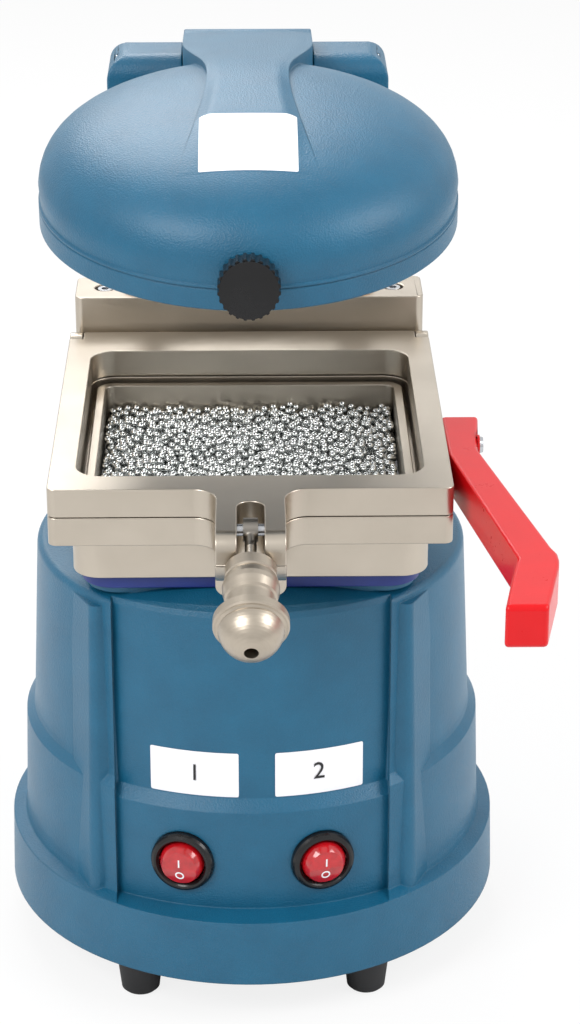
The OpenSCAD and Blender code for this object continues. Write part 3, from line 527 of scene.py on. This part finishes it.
def copy_of(node: str) -> bmesh.types.BMesh:
    """Copies a CAD node's mesh, joins its loose triangles and clears the lines across its flat faces.

    Args:
        node: The node's name.

    Returns:
        The copy, in its place.
    """
    bm = bmesh.new()
    bm.from_mesh(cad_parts[node].data)
    bmesh.ops.remove_doubles(bm, verts=bm.verts, dist=0.002 * MM)
    bmesh.ops.dissolve_limit(
        bm,
        angle_limit=math.radians(0.6),
        use_dissolve_boundaries=False,
        verts=bm.verts,
        edges=bm.edges,
    )
    return bm


def round_edges(bm: bmesh.types.BMesh, radius: float, steps: int = 2, over: float = 32.0) -> None:
    """Rounds every edge that turns by more than an angle.

    Args:
        bm: The mesh to work on.
        radius: Width of the rounding.
        steps: Faces across it.
        over: The smallest angle in degrees that is rounded.
    """
    sharp = [
        edge
        for edge in bm.edges
        if len(edge.link_faces) == 2 and edge.calc_face_angle() > math.radians(over)
    ]
    bmesh.ops.bevel(
        bm,
        geom=sharp,
        offset=radius,
        offset_type="OFFSET",
        segments=steps,
        profile=0.5,
        affect="EDGES",
        clamp_overlap=False,
        material=-1,
        loop_slide=True,
    )
    bmesh.ops.remove_doubles(bm, verts=bm.verts, dist=0.002 * MM)


@dataclass
class RoundedPart:
    """A CAD node shown with its sharp edges broken, as the real casting or moulding has them."""

    node: str
    body: Body
    slot: str
    radius: float
    steps: int = 2
    over: float = 32.0

    def build(self) -> bpy.types.Object:
        """Builds the part in the node's place.

        Returns:
            The new piece.
        """
        bm = copy_of(self.node)
        round_edges(bm, self.radius, self.steps, self.over)
        name = f"{self.node}_rounded"
        return set_up(bm, name, self.body, self.slot, stands_for=[self.node], smooth=40, even=True)


@dataclass
class HeadShell:
    """The heater head's shell: a turned dome whose arm melts into it towards the front."""

    centre_height: float = 275.5 * MM
    lean: float = 7.4
    rim: float = 73.3 * MM
    crown: float = 41.5 * MM
    band: float = 7.5 * MM
    groove: float = 0.6 * MM
    dome_start: float = 9.7 * MM
    power: float = 2.8
    wall: float = 2.6 * MM
    profile_steps: int = 22
    around: int = 128
    fade_from: float = -46 * MM
    fade_length: float = 40 * MM
    rise: float = 2.4 * MM
    waist: float = 14.5 * MM
    flare: float = 9.5 * MM
    flare_length: float = 70 * MM
    waist_at: float = 24 * MM
    waist_from: float = 28 * MM
    waist_length: float = 50 * MM
    leaves_dome: float = 44 * MM
    straight_from: float = 2 * MM
    straight_length: float = 38 * MM
    crease_from: float = 0.72
    crease_drop: float = 0.55
    sunk: float = 0.25 * MM
    straight_sunk: float = 0.35 * MM
    underside: float = 10 * MM
    rim_break: float = 0.5 * MM
    arm_rows: int = 74
    arm_columns: int = 22
    hinge: tuple[float, float] = (100 * MM, 304 * MM)
    barrel: float = 12 * MM
    barrel_half: float = 24 * MM

    def _dome(self, x: float, y: float, inset: float = 0.0) -> float:
        """Gives the dome's height at a place.

        Args:
            x: Sideways distance from the middle.
            y: Distance behind the middle.
            inset: How much smaller the dome is all round.

        Returns:
            The height over the rim's lower edge.
        """
        share = min(math.hypot(x, y) / (self.rim - inset), 0.9999)
        height = self.crown - inset - self.dome_start
        return self.dome_start + height * (1 - share**self.power) ** (1 / self.power)

    def _profile(self) -> list[tuple[float, float]]:
        """Gives the shell's section.

        Returns:
            Radii and heights from the crown outside, round the rim, to the crown inside.
        """
        steps = self.profile_steps
        shares = [math.sin(math.radians(90 * step / steps)) for step in range(steps + 1)]
        outer = [(self.rim * share, self._dome(self.rim * share, 0)) for share in shares]
        floor = self.rim - self.groove
        low = self.band + self.groove / 2
        outer[-1] = (floor, self.dome_start - self.rim_break)
        outer += [(self.rim, low + 1.1 * MM), (self.rim, low + self.groove / 2), (floor, low)]
        outer += [(self.rim, self.band), (self.rim, self.rim_break), (self.rim - self.rim_break, 0)]
        bore = self.rim - self.wall
        inner = [(bore * share, self._dome(bore * share, 0, self.wall)) for share in reversed(shares[:-1])]
        return [*outer, (bore + 0.4 * MM, 0), (bore, 0.4 * MM), (bore, self.dome_start), *inner]

    def _half_width(self, y: float) -> float:
        """Gives the arm's half width, narrow at the waist and wide at both ends.

        Args:
            y: Distance behind the dome's middle.

        Returns:
            The half width.
        """
        if y < self.waist_at:
            return self.waist + self.flare * ((self.waist_at - y) / self.flare_length) ** 1.5
        widening = ease((y - self.waist_from) / self.waist_length)
        return self.waist + (self.barrel_half - self.waist) * widening

    def _top(self, side: float, y: float, end: tuple[float, float]) -> float:
        """Gives the height of the arm's top, which follows the dome in front and runs straight behind.

        Args:
            side: Sideways place as a share of the half width, from -1 to 1.
            y: Distance behind the dome's middle.
            end: Distance and height of the arm's end over the hinge.

        Returns:
            The height over the rim's lower edge.
        """
        x = side * self._half_width(y)
        rise = self.rise * ease((y - self.fade_from) / self.fade_length)
        edge = ease((abs(side) - self.crease_from) / (1 - self.crease_from))
        blended = self._dome(x, y) + rise * (1 - self.crease_drop * edge)
        blended -= self.sunk * (edge if y > self.fade_from + 1 * MM else 1)
        past = min(1.0, max(0.0, (y - self.leaves_dome) / (end[0] - self.leaves_dome)))
        start = self._dome(0, self.leaves_dome) + self.rise
        straight = start + (end[1] - start) * past if past else self._dome(0, y) + self.rise
        behind = ease((y - self.straight_from) / self.straight_length)
        return blended * (1 - behind) + (straight - self.straight_sunk * edge) * behind

    def _arm(self, bm: bmesh.types.BMesh, hinge: Vector) -> None:
        """Adds the arm as a closed bar over and behind the dome.

        Args:
            bm: The mesh that holds the dome.
            hinge: The hinge's place in the level head.
        """
        grid = bmesh.ops.create_grid(
            bm, x_segments=self.arm_columns, y_segments=self.arm_rows, size=1
        )["verts"]
        top = {face for vert in grid for face in vert.link_faces}
        end = (hinge.y, hinge.z + self.barrel)
        deep = bmesh.ops.extrude_face_region(bm, geom=list(top), use_keep_orig=True)["geom"]
        under = [item for item in deep if isinstance(item, bmesh.types.BMVert)]
        for vert, low in [*((vert, False) for vert in grid), *((vert, True) for vert in under)]:
            side, y = vert.co.x, self.fade_from + (vert.co.y + 1) / 2 * (end[0] - self.fade_from)
            height = self._top(side, y, end)
            if low:
                inside = self._dome(side * self._half_width(y), y) - 0.6 * self.wall
                past = max(0.0, (y - self.rim) / (end[0] - self.rim))
                behind = self.underside + (hinge.z - self.barrel - self.underside) * past
                height = min(height - 0.3 * MM, max(inside, self.underside) if y < self.rim else behind)
            vert.co = Vector((side * self._half_width(y), y, height))

    def build(self) -> bpy.types.Object:
        """Builds the shell level and leans it forward.

        Returns:
            The new piece.
        """
        lean = Matrix.Rotation(math.radians(self.lean), 4, "X")
        pose = Matrix.Translation((0, 0, self.centre_height)) @ lean
        hinge = pose.inverted() @ Vector((0, *self.hinge))
        bm = bmesh.new()
        verts = [bm.verts.new((radius, 0, height)) for radius, height in self._profile()]
        edges = [bm.edges.new(pair) for pair in zip(verts, verts[1:])]
        bmesh.ops.spin(
            bm,
            geom=[*verts, *edges],
            cent=(0, 0, 0),
            axis=(0, 0, 1),
            angle=2 * math.pi,
            steps=self.around,
            use_merge=True,
        )
        bmesh.ops.remove_doubles(bm, verts=bm.verts, dist=0.01 * MM)
        self._arm(bm, hinge)
        barrel = Matrix.Translation(hinge) @ Matrix.Rotation(math.radians(90), 4, "Y")
        made = bmesh.ops.create_cone(
            bm,
            cap_ends=True,
            segments=64,
            radius1=self.barrel,
            radius2=self.barrel,
            depth=2 * self.barrel_half,
            matrix=barrel,
        )["verts"]
        rims = {edge for vert in made for edge in vert.link_edges if edge.calc_face_angle() > 1}
        bmesh.ops.bevel(
            bm, geom=list(rims), offset=0.6 * MM, segments=3, profile=0.5, affect="EDGES", material=-1
        )
        bm.transform(pose)
        bmesh.ops.recalc_face_normals(bm, faces=bm.faces)
        return set_up(
            bm, "head_shell_blended", Body.HEAD, "hammered_blue", stands_for=["head_shell"], smooth=38
        )


@dataclass
class ShotBed:
    """The steel shot that lies in the tray, dropped ball by ball."""

    ball: float = 1.3 * MM
    count: int = 3900
    tries: int = 7
    seed: int = 11

    def _rest_height(self, x: float, y: float, floor: float, near: Neighbours) -> float:
        """Finds the height at which a ball dropped at a place comes to rest.

        Args:
            x: Sideways place of the drop.
            y: Place of the drop from front to back.
            floor: Height of the perforated plate.
            near: The balls that lie already, by the cell they lie in.

        Returns:
            The height of the ball's centre.
        """
        cell = 2 * self.ball
        height = floor + self.ball
        column, row = int(x // cell), int(y // cell)
        for i in (column - 1, column, column + 1):
            for j in (row - 1, row, row + 1):
                for other in near.get((i, j), ()):
                    apart = (other.x - x) ** 2 + (other.y - y) ** 2
                    if apart < cell * cell:
                        height = max(height, other.z + math.sqrt(cell * cell - apart))
        return height

    def _places(self) -> list[Vector]:
        """Drops the balls one after another, each at the lowest of a few places.

        Returns:
            The balls' centres.
        """
        low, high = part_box("steel_shot")
        draw = random.Random(self.seed)
        near: Neighbours = {}
        centres = []
        for _ in range(self.count):
            best = None
            for _ in range(self.tries):
                x = draw.uniform(low.x + self.ball, high.x - self.ball)
                y = draw.uniform(low.y + self.ball, high.y - self.ball)
                z = self._rest_height(x, y, low.z, near)
                if best is None or z < best.z:
                    best = Vector((x, y, z))
            cell = 2 * self.ball
            near.setdefault((int(best.x // cell), int(best.y // cell)), []).append(best)
            centres.append(best)
        return centres

    def build(self) -> None:
        """Builds the balls as two pieces, the ones that lie low in the tray and the ones on top."""
        centres = sorted(self._places(), key=lambda centre: centre.z)
        middle = len(centres) // 2
        draw = random.Random(self.seed + 1)
        self._layer("steel_shot_low", centres[:middle], draw)
        self._layer("steel_shot_top", centres[middle:], draw)

    def _layer(self, name: str, centres: Sequence[Vector], draw: random.Random) -> bpy.types.Object:
        """Builds some of the balls as one piece.

        Args:
            name: The piece's name.
            centres: The balls' centres.
            draw: The source of the balls' turns.

        Returns:
            The new piece.
        """
        bm = bmesh.new()
        bmesh.ops.create_uvsphere(bm, u_segments=8, v_segments=6, radius=self.ball)
        one = bpy.data.meshes.new("one_ball")
        bm.to_mesh(one)
        bm.clear()
        for centre in centres:
            tipped = Matrix.Rotation(draw.uniform(0, math.pi), 4, "X")
            turned = Matrix.Rotation(draw.uniform(0, 3), 4, "Z")
            placed = one.copy()
            placed.transform(Matrix.Translation(centre) @ tipped @ turned)
            bm.from_mesh(placed)
            bpy.data.meshes.remove(placed)
        bpy.data.meshes.remove(one)
        return set_up(bm, name, Body.BASE, "steel_shot", stands_for=["steel_shot"], smooth=180)


def surface_of(mesh: bpy.types.Mesh) -> BVHTree:
    """Makes a mesh ready to be hit by rays.

    Args:
        mesh: The mesh, in its place.

    Returns:
        The tree that finds the hits.
    """
    bm = bmesh.new()
    bm.from_mesh(mesh)
    tree = BVHTree.FromBMesh(bm)
    bm.free()
    return tree


def press_on(bm: bmesh.types.BMesh, surface: BVHTree, inwards: Vector, lift: float) -> None:
    """Moves every point of a flat shape along a direction until it lies just over a surface.

    Args:
        bm: The flat shape, held clear of the surface.
        surface: The surface to lie on.
        inwards: The direction towards the surface.
        lift: How far over the surface the shape stays.
    """
    for vert in bm.verts:
        hit = surface.ray_cast(vert.co, inwards)[0]
        if hit is not None:
            vert.co = hit - inwards * lift


def thicken(bm: bmesh.types.BMesh, thickness: float) -> None:
    """Gives a sheet a thickness and turns its faces outwards.

    Args:
        bm: The sheet.
        thickness: The thickness.
    """
    bmesh.ops.solidify(bm, geom=list(bm.faces), thickness=thickness)
    bmesh.ops.recalc_face_normals(bm, faces=bm.faces)


def numeral(text: str, height: float) -> bmesh.types.BMesh:
    """Makes a flat numeral in the XY plane about the origin.

    Args:
        text: The digits.
        height: Size of the digits.

    Returns:
        The numeral's mesh.
    """
    curve = bpy.data.curves.new("numeral", "FONT")
    curve.body = text
    curve.size = height
    curve.align_x = "CENTER"
    curve.align_y = "CENTER"
    holder = bpy.data.objects.new("numeral", curve)
    bpy.context.scene.collection.objects.link(holder)
    mesh = bpy.data.meshes.new_from_object(holder)
    bm = bmesh.new()
    bm.from_mesh(mesh)
    bpy.data.objects.remove(holder)
    bpy.data.meshes.remove(mesh)
    bpy.data.curves.remove(curve)
    return bm


@dataclass
class Card:
    """A thin white card glued on a curved surface, with a number printed on it or nothing."""

    name: str
    body: Body
    slot: str
    surface: BVHTree
    pose: Matrix
    size: tuple[float, float]
    number: str = ""
    corner: float = 0.6 * MM
    lift: float = 0.12 * MM
    thickness: float = 0.16 * MM
    numeral_height: float = 9.0 * MM

    def build(self) -> None:
        """Builds the card and its number."""
        inwards = (self.pose.to_3x3() @ Vector((0, 0, -1))).normalized()
        bm = bmesh.new()
        bmesh.ops.create_grid(bm, x_segments=20, y_segments=12, size=0.5)
        bmesh.ops.scale(bm, vec=(self.size[0], self.size[1], 1), verts=bm.verts)
        bmesh.ops.bevel(
            bm,
            geom=[vert for vert in bm.verts if len(vert.link_faces) == 1],
            offset=self.corner,
            segments=2,
            profile=0.5,
            affect="VERTICES",
            material=-1,
        )
        bm.transform(self.pose)
        press_on(bm, self.surface, inwards, self.lift)
        thicken(bm, self.thickness)
        set_up(bm, self.name, self.body, self.slot, PAPER)
        if self.number:
            bm = numeral(self.number, self.numeral_height)
            bm.transform(self.pose)
            press_on(bm, self.surface, inwards, self.lift + 1.6 * self.thickness)
            thicken(bm, 0.5 * self.thickness)
            set_up(bm, f"{self.name}_number", self.body, self.slot, INK)


@dataclass
class Cards:
    """The cards of the machine: two numbered ones on the front panel and a bare one on the dome."""

    panel_size: tuple[float, float] = (31.3 * MM, 17 * MM)
    panel_height: float = 93.1 * MM
    panel_clear: float = 130 * MM
    panel_cards: tuple[tuple[str, float, str], ...] = (
        ("left_card", -20.4 * MM, "1"),
        ("right_card", 23.8 * MM, "2"),
    )
    dome_size: tuple[float, float] = (33.3 * MM, 33 * MM)
    dome_place: tuple[float, float, float] = (0, -33.5 * MM, 340 * MM)

    def build_panel(self) -> None:
        """Builds the two cards on the front panel."""
        panel = surface_of(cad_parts["base_housing"].data)
        upright = Matrix.Rotation(math.radians(90), 4, "X")
        for name, middle, number in self.panel_cards:
            pose = Matrix.Translation((middle, -self.panel_clear, self.panel_height)) @ upright
            Card(name, Body.BASE, "hammered_blue", panel, pose, self.panel_size, number).build()

    def build_dome(self, shell: bpy.types.Object) -> None:
        """Builds the bare card on the head.

        Args:
            shell: The head's shell that the card lies on.
        """
        pose = Matrix.Translation(self.dome_place)
        Card("dome_card", Body.HEAD, "hammered_blue", surface_of(shell.data), pose, self.dome_size).build()


@dataclass
class RockerMarks:
    """The white I and O on a rocker, one over the other."""

    side: Side
    body: Body
    panel_axis: tuple[float, float, float] = (0.0, 16.3 * MM, 59.5 * MM)
    turn: float = 14.97
    reach: float = 110 * MM
    bar: tuple[float, float] = (0.55 * MM, 3.0 * MM)
    ring: float = 1.65 * MM
    ring_width: float = 0.5 * MM
    ring_segments: int = 28
    bar_up: float = 1.6 * MM
    ring_down: float = 3.9 * MM
    lift: float = 0.05 * MM
    thickness: float = 0.12 * MM

    def build(self) -> None:
        """Builds both marks as one piece that rides with the rocker."""
        name = f"{self.side.name.lower()}_rocker"
        surface = surface_of(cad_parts[name].data)
        angle = self.side.value * math.radians(self.turn)
        upright = Matrix.Rotation(math.radians(90), 4, "X")
        clear = Matrix.Translation((0, -self.reach, 0))
        pose = Matrix.Translation(self.panel_axis) @ Matrix.Rotation(angle, 4, "Z") @ clear @ upright
        bm = bmesh.new()
        bmesh.ops.create_grid(bm, x_segments=1, y_segments=4, size=0.5)
        bmesh.ops.scale(bm, vec=(self.bar[0], self.bar[1], 1), verts=bm.verts)
        bmesh.ops.translate(bm, vec=(0, self.bar_up, 0), verts=bm.verts)
        edges = []
        for radius in (self.ring, self.ring - self.ring_width):
            made = bmesh.ops.create_circle(bm, segments=self.ring_segments, radius=radius)["verts"]
            bmesh.ops.translate(bm, vec=(0, -self.ring_down, 0), verts=made)
            edges += {edge for vert in made for edge in vert.link_edges}
        bmesh.ops.bridge_loops(bm, edges=edges)
        bm.transform(pose)
        press_on(bm, surface, (pose.to_3x3() @ Vector((0, 0, -1))).normalized(), self.lift)
        thicken(bm, self.thickness)
        set_up(bm, f"{name}_marks", self.body, "red_lens", PAPER)


@dataclass
class SwingBolt:
    """The swing bolt, its eye taken from the CAD node and its shank cut with a real thread."""

    pivot: tuple[float, float, float] = (0.0, -95.5 * MM, 197.5 * MM)
    droop: float = BOLT_DROOP
    eye_end: float = 8.6 * MM
    thread_start: float = 8.0 * MM
    thread_end: float = 45.0 * MM
    crest: float = 2.0 * MM
    root: float = 1.6 * MM
    pitch: float = 0.8 * MM
    around: int = 24

    def build(self) -> bpy.types.Object:
        """Builds the bolt along its own axis and puts it on its pivot.

        Returns:
            The new piece.
        """
        pose = Matrix.Translation(self.pivot) @ Matrix.Rotation(math.radians(90 + self.droop), 4, "X")
        bm = copy_of("swing_bolt")
        bm.transform(pose.inverted())
        cut = bmesh.ops.bisect_plane(
            bm,
            geom=[*bm.verts, *bm.edges, *bm.faces],
            plane_co=(0, 0, self.eye_end),
            plane_no=(0, 0, 1),
            clear_outer=True,
        )
        rim = [item for item in cut["geom_cut"] if isinstance(item, bmesh.types.BMEdge)]
        bmesh.ops.holes_fill(bm, edges=rim)
        self._thread(bm)
        bm.transform(pose)
        return set_up(
            bm,
            "swing_bolt_threaded",
            Body.BOLT,
            "zinc_steel",
            BOLT_STEEL,
            stands_for=["swing_bolt"],
            smooth=50,
        )

    def _thread(self, bm: bmesh.types.BMesh) -> None:
        """Winds the thread's profile up the shank, one turn after another.

        Args:
            bm: The mesh that holds the bolt's eye.
        """
        rises = (0.0, 0.38, 0.5, 0.88, 1.0)
        radii = (self.root, self.crest, self.crest, self.root, self.root)
        verts = [
            bm.verts.new((radius, 0, self.thread_start + rise * self.pitch))
            for radius, rise in zip(radii, rises)
        ]
        edges = [bm.edges.new(pair) for pair in zip(verts, verts[1:])]
        turns = round((self.thread_end - self.thread_start) / self.pitch)
        bmesh.ops.spin(
            bm,
            geom=[*verts, *edges],
            cent=(0, 0, 0),
            axis=(0, 0, 1),
            dvec=(0, 0, self.pitch / self.around),
            angle=2 * math.pi * turns,
            steps=turns * self.around,
            use_merge=False,
        )
        wound = [vert for vert in bm.verts if vert.co.z > self.thread_start - 0.01 * MM]
        bmesh.ops.remove_doubles(bm, verts=wound, dist=0.004 * MM)
        bmesh.ops.holes_fill(bm, edges=[edge for edge in bm.edges if edge.is_boundary])
        bmesh.ops.recalc_face_normals(bm, faces=bm.faces)


@dataclass(frozen=True)
class Lamp:
    """A square soft light that faces a point."""

    name: str
    place: tuple[float, float, float]
    size: float
    power: float
    aim: tuple[float, float, float] = (0.0, 0.0, 0.17)


@dataclass
class Studio:
    """The plain pale room: camera, floor, backdrop light and soft lamps."""

    eye: tuple[float, float, float] = (0.0, -0.957, 0.5893)
    look_down: float = 24.1
    look_right: float = 0.87
    focal_px: float = 2850.0
    frame_px: float = 1024.0
    sensor: float = 24.0
    world_light: float = 0.62
    floor_reach: float = 6.0
    lamps: tuple[Lamp, ...] = (
        Lamp("key_lamp", (-0.75, -0.85, 1.15), 0.7, 13.0),
        Lamp("right_lamp", (0.95, -0.35, 0.85), 0.6, 7.0),
        Lamp("back_lamp", (-0.25, 0.9, 1.1), 0.7, 9.0),
    )

    def build(self) -> None:
        """Builds the room around the machine."""
        self._camera()
        self._world()
        self._floor()
        for lamp in self.lamps:
            self._lamp(lamp)
        bpy.context.scene.view_settings.view_transform = "Standard"

    def _camera(self) -> None:
        """Puts the camera where the photograph was taken from."""
        data = bpy.data.cameras.new("photo_camera")
        data.sensor_width = self.sensor
        data.lens = self.sensor * self.focal_px / self.frame_px
        camera = bpy.data.objects.new("photo_camera", data)
        camera.location = self.eye
        camera.rotation_euler = (math.radians(90 - self.look_down), 0, math.radians(-self.look_right))
        bpy.context.scene.collection.objects.link(camera)
        bpy.context.scene.camera = camera

    def _world(self) -> None:
        """Lights the room evenly, and shows white to the camera, in gloss and through clear parts."""
        world = bpy.data.worlds.new("studio_world")
        world.use_nodes = True
        bpy.context.scene.world = world
        board = Board(world.node_tree)
        rays = board.add("ShaderNodeLightPath")
        seen = Wire(board, rays.outputs["Is Camera Ray"])
        for name in ("Is Glossy Ray", "Is Transmission Ray"):
            seen = seen + Wire(board, rays.outputs[name])
        strength = seen.below(0.5) * (self.world_light - 1.0) + 1.0
        light = board.add("ShaderNodeBackground", None, {"Color": (1, 1, 1, 1), "Strength": strength})
        board.add("ShaderNodeOutputWorld", None, {"Surface": Wire(board, light.outputs[0])})

    def _floor(self) -> None:
        """Lays the pale floor, lifted towards white for the camera while it keeps the shadow."""
        bm = bmesh.new()
        bmesh.ops.create_grid(bm, x_segments=1, y_segments=1, size=self.floor_reach)
        mesh = bpy.data.meshes.new("studio_floor")
        bm.to_mesh(mesh)
        bm.free()
        floor = bpy.data.objects.new("studio_floor", mesh)
        bpy.context.scene.collection.objects.link(floor)
        material = bpy.data.materials.new("studio_floor")
        material.use_nodes = True
        board = Board(material.node_tree)
        rays = board.add("ShaderNodeLightPath")
        matt = board.add("ShaderNodeBsdfDiffuse", None, {"Color": shade(238, 238, 238)})
        glow = board.add("ShaderNodeEmission", None, {"Color": (1, 1, 1, 1), "Strength": 1.0})
        lifted = Wire(board, rays.outputs["Is Camera Ray"]) * 0.84
        both = board.add(
            "ShaderNodeMixShader",
            None,
            {0: lifted, 1: Wire(board, matt.outputs[0]), 2: Wire(board, glow.outputs[0])},
        )
        board.add("ShaderNodeOutputMaterial", None, {"Surface": Wire(board, both.outputs[0])})
        mesh.materials.append(material)

    @staticmethod
    def _lamp(lamp: Lamp) -> None:
        """Hangs one soft lamp.

        Args:
            lamp: The lamp to hang.
        """
        data = bpy.data.lights.new(lamp.name, "AREA")
        data.size = lamp.size
        data.energy = lamp.power
        light = bpy.data.objects.new(lamp.name, data)
        light.location = lamp.place
        aim = Vector(lamp.aim) - Vector(lamp.place)
        light.rotation_euler = aim.to_track_quat("-Z", "Y").to_euler()
        bpy.context.scene.collection.objects.link(light)


def dress_frame() -> None:
    """Gives every CAD node the finish of its material slot."""
    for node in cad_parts.values():
        for slot in node.material_slots:
            slot.material = SLOT_FINISHES[slot.material.name].material()


def main() -> None:
    """Builds the studio and every sub-assembly in order."""
    logging.basicConfig(level=logging.INFO, format="%(message)s")
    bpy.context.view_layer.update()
    dress_frame()
    Studio().build()
    rounded = (
        RoundedPart("head_yoke", Body.BASE, "hammered_blue", 0.8 * MM, 3),
        RoundedPart("vacuum_base", Body.BASE, "satin_nickel", 0.5 * MM),
        RoundedPart("bead_tray", Body.BASE, "satin_nickel", 0.45 * MM),
        RoundedPart("lower_frame", Body.CARRIAGE, "satin_nickel", 0.45 * MM),
        RoundedPart("upper_frame", Body.UPPER_PLATE, "satin_nickel", 0.45 * MM),
        RoundedPart("carriage_block", Body.CARRIAGE, "satin_nickel", 0.5 * MM),
        RoundedPart("handle", Body.UPPER_PLATE, "red_handle", 1.3 * MM, 4),
        RoundedPart("platform_gasket", Body.BASE, "navy_gasket", 0.6 * MM),
    )
    for part in rounded:
        part.build()
    ShotBed().build()
    SwingBolt().build()
    cards = Cards()
    cards.build_panel()
    cards.build_dome(HeadShell().build())
    RockerMarks(Side.LEFT, Body.LEFT_SWITCH).build()
    RockerMarks(Side.RIGHT, Body.RIGHT_SWITCH).build()


if __name__ == "__main__":
    main()
